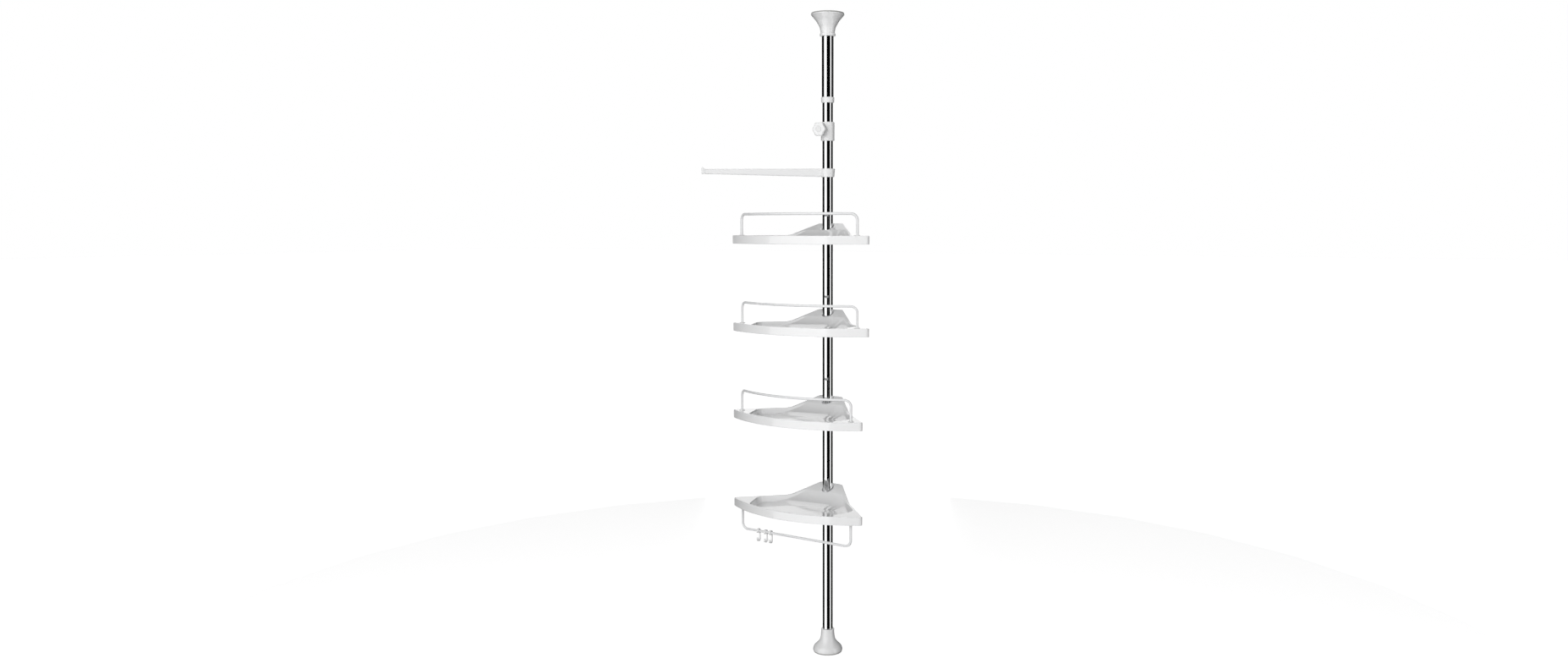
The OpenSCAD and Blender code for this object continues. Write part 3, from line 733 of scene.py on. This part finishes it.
class CADDY_OT_ends(bpy.types.Operator):
    """Builds the flared foot, the ceiling cap, their pads and the ring between the two tubes"""

    bl_idname = "caddy.ends"
    bl_label = "Foot, cap and ring"

    def execute(self, context):
        _, (wide, _, top) = node_box("foot_cone")
        base = rounded([(9, 3), (wide, 3), (wide, 6)], [0, 1.2, 0], step=15, hold=0.2)
        bell = through(
            [(wide, 6.6), (wide - 0.8, 10), (wide - 3.4, 15.2), (wide - 9.6, 21.4), (wide - 14.2, 26.4),
             (18.9, top - 26), (17.4, top - 20), (16.3, top - 11), (15.9, top - 6)]
        )
        bead = rounded(
            [(16.5, top - 5.2), (16.5, top), (12.6, top), (12.6, top - 30)], [0.6, 0.8, 0.5, 0], step=20
        )
        profile = np.vstack([base, bell, bead[1:], [(12.6, 8), (9, 8)]])
        piece("foot_bell", [(lathe(profile), True)], "mast", "gloss_white", "foot_cone")

        _, (wide, _, _) = node_box("foot_pad")
        sole = rounded(
            [(0, 0), (wide, 0), (wide, 3), (10, 3), (10, 6), (0, 6)], [0, 0.8, 0.5, 0, 0.3, 0],
            step=20, hold=0.2,
        )
        piece("foot_sole", [(lathe(sole[1:-1]), False)], "mast", "pad_rubber", "foot_pad")

        (_, _, bottom), (wide, _, top) = node_box("ceiling_cap")
        flare = top - 1.5
        bead = rounded(
            [(14.3, bottom + 20), (14.3, bottom), (18.5, bottom), (18.5, bottom + 6.2), (17.2, bottom + 7.2)],
            [0, 0.5, 1.2, 1.2, 0], step=18,
        )
        bell = through(
            [(16.9, bottom + 8), (17.3, flare - 36.4), (19.1, flare - 28.7), (23.1, flare - 21.2),
             (27.7, flare - 13.8), (33.7, flare - 6.9), (wide - 1, flare - 1.3)]
        )
        crown = rounded([(wide, flare - 0.6), (wide, top), (9, top)], [0, 0.7, 0], step=20, hold=0.2)
        profile = np.vstack([bead, bell, crown, [(9, top - 9), (14.3, top - 9)]])
        piece("ceiling_bell", [(lathe(profile), True)], "cap", "gloss_white", "ceiling_cap")

        _, (wide, _, top) = node_box("ceiling_pad")
        corners = [(0, top - 3), (wide, top - 3), (wide, top), (0, top)]
        sole = rounded(corners, [0, 0.5, 0.9, 0], step=20, hold=0.2)
        piece("ceiling_sole", [(lathe(sole[1:-1]), False)], "cap", "pad_rubber", "ceiling_pad")

        (_, _, bottom), (_, _, top) = node_box("telescope_ring")
        ring = rounded(
            [(12.6, bottom), (15, bottom), (15.9, bottom + 12.5), (14.1, top), (14.05, bottom + 5),
             (12.6, bottom + 5)],
            [0.4, 1.0, 1.2, 0.3, 0, 0], True, 15, 0.15,
        )
        piece("slide_ring", [(lathe(ring), True)], "upper_pole", "gloss_white", "telescope_ring")
        return {"FINISHED"}


class CADDY_OT_lock(bpy.types.Operator):
    """Builds the lock collar with its boss, the lobed clamp knob and the knob's button"""

    bl_idname = "caddy.lock"
    bl_label = "Lock collar and knob"

    def execute(self, context):
        low, high = node_box("lock_collar")
        knob_low, knob_high = node_box("lock_knob")
        height = (knob_low[2] + knob_high[2]) / 2
        shell = rounded(
            [(16, low[2]), (16, high[2]), (13, high[2]), (13, low[2])], [1.3, 1.3, 0.5, 0.5], True, 12, 0.2
        )
        boss = rounded(
            [(0, 13.2), (8.5, 13.2), (8.5, -low[1]), (0, -low[1])], [0, 0, 1.0, 0], step=15, hold=0.2
        )
        grids = [(lathe(shell), True), (on_knob_axis(lathe(boss[1:-1]), height), False)]
        piece("lock_shell", grids, "lock_body", "gloss_white", "lock_collar")

        # The knob: its profile goes round its axis and is drawn in between six lobes, most at its rim
        front, back, radius = -knob_low[1], -knob_high[1], (knob_high[2] - knob_low[2]) / 2
        disc = back + 3
        rim = rounded(
            [(7, disc), (radius, disc), (radius, front), (7.6, front - 0.4)], [0, 2.2, 3.2, 0],
            step=9, hold=0.3,
        )
        profile = np.vstack([
            [(0.5, back), (6.6, back), (7, back + 0.4), (7, disc - 0.05)],
            rim,
            [(7.2, front - 0.9), (7.1, front - 1.4), (0.5, front - 1.4)],
        ])
        r, z = profile[:, 0, None], profile[:, 1, None]
        a = np.linspace(0, 2 * np.pi, 192, endpoint=False)
        r = r - soft_step((r - 8) / (radius - 8)) * 1.9 * (0.5 - 0.5 * np.cos(6 * a)) ** 1.3
        knob = np.stack([r * np.cos(a), r * np.sin(a), z + 0 * a], -1)
        piece("clamp_knob", [(on_knob_axis(knob, height), False)], "lock_handle", "gloss_white", "lock_knob")

        crown = through([(6.9, front - 0.5), (6.2, front - 0.12), (3, front - 0.02), (0.4, front)], 6)
        button = np.vstack([[(6.9, front - 1.5), (6.9, front - 0.5)], crown])
        piece(
            "knob_button", [(on_knob_axis(lathe(button), height), False)],
            "lock_handle", "gloss_white", "knob_cap", finish="satin_plastic",
        )
        return {"FINISHED"}


class CADDY_OT_arm(bpy.types.Operator):
    """Builds the towel arm with its collar, and the arm's end with its lip"""

    bl_idname = "caddy.arm"
    bl_label = "Towel arm"

    def execute(self, context):
        low, _ = node_box("towel_arm")
        tip_low, tip_high = node_box("arm_tip")
        middle = (tip_low + tip_high) / 2
        angle, base = math.atan2(middle[1], middle[0]), low[2]
        end = math.hypot(middle[0], middle[1]) + 4.3
        collar = rounded(
            [(15.6, base), (17.2, base + 20), (13.75, base + 20), (14.05, base)], [0.9, 1.1, 0.4, 0.4],
            True, 12, 0.2,
        )

        # The arm: a section carried outward, between a lower and an upper edge that are straight lines
        places = [13.8, 20, end - 9]
        s = np.concatenate([[13.8], np.linspace(15, 24, 8), np.linspace(30, end - 9, 24)])[:, None]
        under, over = np.interp(s, places, [2.5, 0.5, 6.2]), np.interp(s, places, [17.5, 20.3, 18.0])
        section = rounded_box(9.0, 12.0, 2.4)
        across, share = section[:, 0], (section[:, 1] + 6) / 12
        beam = np.stack([s + 0 * across, 0 * s + across, base + under + (over - under) * share], -1)
        grids = [(lathe(collar), True), (turned(beam, angle), False)]
        piece("arm_beam", grids, "arm", "gloss_white", "towel_arm")

        # The end: its side view in layers across the arm, moved in towards both faces
        outline = rounded(
            [(end - 9.2, 6.2), (end, 6.2), (end, 22.0), (end - 4.6, 22.0), (end - 6.4, 18.0),
             (end - 9.2, 18.0)],
            [0, 2.6, 2.0, 1.2, 1.5, 0], True, 12, 0.1,
        )
        outline = even(outline, 0.6)
        half = [(3.2, 0.0), (3.8, 0.15), (4.3, 0.6), (4.5, 1.3)]
        layers = []
        for side, inset in [(-side, inset) for side, inset in half[::-1]] + half:
            ring = moved_in(outline, inset)
            layers.append(np.column_stack([ring[:, 0], side + 0 * ring[:, 0], base + ring[:, 1]]))
        grids = [(turned(np.stack(layers), angle), False)]
        piece("arm_end", grids, "arm", "gloss_white", "arm_tip")
        return {"FINISHED"}


class CADDY_OT_shelves(bpy.types.Operator):
    """Builds the four moulded corner shelves"""

    bl_idname = "caddy.shelves"
    bl_label = "Shelves"

    def execute(self, context):
        settings = context.scene.caddy_shelf
        grid = tray_grid(settings)
        for k in (1, 2, 3, 4):
            grids = [(on_shelf(grid, k, settings), True)]
            piece(f"tray_{k}", grids, f"shelf_{k}", "gloss_white", f"shelf_{k}_tray")
        return {"FINISHED"}


class CADDY_OT_rails(bpy.types.Operator):
    """Builds the three guard rails, the towel rail and the sockets that hold their posts"""

    bl_idname = "caddy.rails"
    bl_label = "Rails and sockets"

    def execute(self, context):
        settings = context.scene.caddy_shelf
        profile = rounded(
            [(3.05, -14), (5, -14), (5, 0.02), (6.5, 0.02), (6.5, 1.2), (3.05, 1.2)],
            [0.2, 0.4, 0, 0.3, 0.7, 0.2], True, 18, 0.1,
        )
        for k, node in enumerate(RAIL_NODES, 1):
            guard, body = node != "towel_rail", f"shelf_{k}"
            high = mm(settings.rail_height if guard else settings.towel_drop)
            wire, path = rail_grid(mm(settings.wire_radius), high, guard)
            grids = [wire] + [lathe(profile, 64) + (side * path[0, 0], path[0, 1], 0) for side in (1, -1)]
            if not guard:
                grids = [hanging(points, settings) for points in grids]
            wire, *sockets = (on_shelf(points, k, settings) for points in grids)
            piece(f"rail_{k}", [(wire, False)], body, "coated_wire", node)
            sockets = [(points, True) for points in sockets]
            piece(f"rail_sockets_{k}", sockets, body, "grip_plastic", f"shelf_{k}_rail_plugs")
        return {"FINISHED"}


class CADDY_OT_hooks(bpy.types.Operator):
    """Builds the three hooks that hang on the towel rail"""

    bl_idname = "caddy.hooks"
    bl_label = "Hooks"

    def execute(self, context):
        joints = {joint["child"]: joint for joint in frame["joints"]}
        up = np.array((0, 0, 1))
        for k, body in enumerate(HOOK_BODIES, 1):
            place, axis = np.array(joints[body]["pos_m"]) / MM, np.array(joints[body]["axis"])
            axes = np.stack([np.cross(axis, up), up, axis])
            grids = [(place + points @ axes, False) for points in hook_grids()]
            piece(f"rail_hook_{k}", grids, body, "gloss_white", f"hook_{k}")
        return {"FINISHED"}


def card(name, middle, width, grey):
    """A tall curved card, seen only in reflections: a stretch of a cylinder round the pole. Its middle
    and width are angles in degrees."""
    columns = 9
    a = np.radians(np.linspace(middle - width / 2, middle + width / 2, columns))[:, None]
    z = np.array(CARD_HEIGHTS)
    points = np.stack([CARD_RADIUS * np.sin(a) + 0 * z, -CARD_RADIUS * np.cos(a) + 0 * z, z + 0 * a], -1)
    faces = np.arange(columns - 1)[:, None] * 2 + np.array([0, 2, 3, 1])
    mesh = bpy.data.meshes.new(name)
    mesh.from_pydata(points.reshape(-1, 3).tolist(), [], faces.tolist())
    material, _, shader = shader_of(name)
    shader.inputs["Base Color"].default_value = (0, 0, 0, 1)
    shader.inputs["Specular IOR Level"].default_value = 0.0
    shader.inputs["Emission Color"].default_value = (1, 1, 1, 1)
    shader.inputs["Emission Strength"].default_value = grey
    mesh.materials.append(material)
    made = bpy.data.objects.new(name, mesh)
    bpy.context.scene.collection.objects.link(made)
    made.visible_camera = made.visible_diffuse = made.visible_shadow = made.visible_transmission = False


def softbox(name, place, target, size, power):
    """A large square light that faces a point."""
    light = bpy.data.lights.new(name, "AREA")
    light.shape = "SQUARE"
    light.size = size
    light.energy = power
    made = bpy.data.objects.new(name, light)
    made.location = place
    aim = np.array(target, float) - np.array(place, float)
    flat = math.hypot(aim[0], aim[1])
    made.rotation_euler = (math.atan2(flat, -aim[2]), 0, math.atan2(aim[1], aim[0]) - math.pi / 2)
    made.visible_camera = made.visible_glossy = False
    bpy.context.scene.collection.objects.link(made)


def make_floor(glow):
    """A wide pale floor that gives off some light of its own where it is looked at directly, and takes
    a darker colour for the light that it throws up."""
    far, under = 40, -0.0005
    mesh = bpy.data.meshes.new("pale_floor")
    corners = [(-far, -far, under), (far, -far, under), (far, far, under), (-far, far, under)]
    mesh.from_pydata(corners, [], [(0, 1, 2, 3)])
    material, tree, shader = shader_of("pale_floor")
    shader.inputs["Emission Color"].default_value = (1, 1, 1, 1)
    kind = tree.nodes.new("ShaderNodeLightPath")
    ranged(tree, noise(tree, 6, 4).outputs["Fac"], (0, 1), (0.48, 0.50), shader.inputs["Roughness"])
    ranged(tree, kind.outputs["Is Camera Ray"], (0, 1), (0.05, glow), shader.inputs["Emission Strength"])
    tinted(tree, kind.outputs["Is Diffuse Ray"], (0.9, 0.9, 0.9), 0.5, shader.inputs["Base Color"])
    mesh.materials.append(material)
    floor = bpy.data.objects.new("pale_floor", mesh)
    bpy.context.scene.collection.objects.link(floor)
    floor.visible_glossy = False


def make_sky(stage):
    """Even light from all round. For soft light it falls off upward and towards the right, for mirrored
    light it has the backdrop's brightness, and looked at directly it is white."""
    world = bpy.data.worlds.new("even_light")
    world.use_nodes = True
    tree = world.node_tree
    sky = tree.nodes["Background"]
    sky.inputs["Color"].default_value = (1, 1, 1, 1)
    ray = tree.nodes.new("ShaderNodeTexCoord").outputs["Generated"]
    split = tree.nodes.new("ShaderNodeSeparateXYZ")
    tree.links.new(ray, split.inputs["Vector"])
    across = tree.nodes.new("ShaderNodeVectorMath")
    across.operation = "DOT_PRODUCT"
    across.inputs[1].default_value = (math.cos(stage.azimuth), math.sin(stage.azimuth), 0)
    tree.links.new(ray, across.inputs[0])
    level = tree.nodes.new("ShaderNodeMath")
    level.operation = "MULTIPLY"
    upward = (stage.sky, stage.sky * stage.zenith)
    ranged(tree, split.outputs["Z"], (0.0, 1.0), upward, level.inputs[0])
    ranged(tree, across.outputs["Value"], (-0.1, 0.9), (1.0, stage.shade), level.inputs[1])
    kind = tree.nodes.new("ShaderNodeLightPath")
    bright = ranged(tree, kind.outputs["Is Diffuse Ray"], (0, 1), (1, 1), sky.inputs["Strength"])
    ranged(tree, kind.outputs["Is Glossy Ray"], (0, 1), (1.0, stage.backdrop), bright.inputs["To Min"])
    tree.links.new(level.outputs["Value"], bright.inputs["To Max"])
    bpy.context.scene.world = world


def make_camera(stage):
    """The camera, which faces the pole's axis from the stage's azimuth, height and distance."""
    camera = bpy.data.objects.new("camera", bpy.data.cameras.new("camera"))
    camera.data.lens = stage.lens
    camera.data.sensor_width = 36.0
    camera.data.shift_x = stage.shift
    camera.location = (
        stage.distance * math.sin(stage.azimuth),
        -stage.distance * math.cos(stage.azimuth),
        stage.height,
    )
    camera.rotation_euler = (math.pi / 2 - stage.tilt, 0, stage.azimuth)
    bpy.context.scene.collection.objects.link(camera)
    bpy.context.scene.camera = camera


class CADDY_OT_stage(bpy.types.Operator):
    """Sets up the pale floor, the studio light and the camera"""

    bl_idname = "caddy.stage"
    bl_label = "Stage, light and camera"

    def execute(self, context):
        stage = context.scene.caddy_stage
        turn = math.degrees(stage.azimuth)
        make_floor(stage.floor_glow)
        make_sky(stage)
        card("card_front", turn + 16, 70, 0.0)
        card("card_left", turn - 119, 90, 0.01)
        card("card_right", turn + 119, 90, 0.03)
        side, far = math.radians(turn - 6), 3.4
        softbox("key_light", (far * math.sin(side), -far * math.cos(side), 1.7), (0, 0, 0.8), 3.0, stage.key)
        make_camera(stage)
        context.scene.view_settings.view_transform = "Standard"
        return {"FINISHED"}


class CADDY_PT_panel(bpy.types.Panel):
    """Lists the caddy's settings and the steps that build it"""

    bl_idname = "CADDY_PT_panel"
    bl_label = "Shower Caddy"
    bl_space_type = "VIEW_3D"
    bl_region_type = "UI"
    bl_category = "Caddy"

    def draw(self, context):
        layout = self.layout
        for settings in (context.scene.caddy_shelf, context.scene.caddy_finish, context.scene.caddy_stage):
            box = layout.box()
            for name in settings.__annotations__:
                box.prop(settings, name)
        for step in STEPS:
            layout.operator(step.bl_idname)


SETTINGS = [
    ("caddy_shelf", CaddyShelfSettings),
    ("caddy_finish", CaddyFinishSettings),
    ("caddy_stage", CaddyStageSettings),
]
STEPS = [
    CADDY_OT_stage,
    CADDY_OT_finishes,
    CADDY_OT_pole,
    CADDY_OT_ends,
    CADDY_OT_lock,
    CADDY_OT_arm,
    CADDY_OT_shelves,
    CADDY_OT_rails,
    CADDY_OT_hooks,
]


def register():
    for name, group in SETTINGS:
        bpy.utils.register_class(group)
        setattr(bpy.types.Scene, name, bpy.props.PointerProperty(type=group))
    for step in STEPS:
        bpy.utils.register_class(step)
    bpy.utils.register_class(CADDY_PT_panel)


def unregister():
    bpy.utils.unregister_class(CADDY_PT_panel)
    for step in reversed(STEPS):
        bpy.utils.unregister_class(step)
    for name, group in reversed(SETTINGS):
        delattr(bpy.types.Scene, name)
        bpy.utils.unregister_class(group)


def main():
    """Builds everything in order."""
    register()
    for step in STEPS:
        group, name = step.bl_idname.split(".")
        getattr(getattr(bpy.ops, group), name)()


if __name__ == "__main__":
    main()
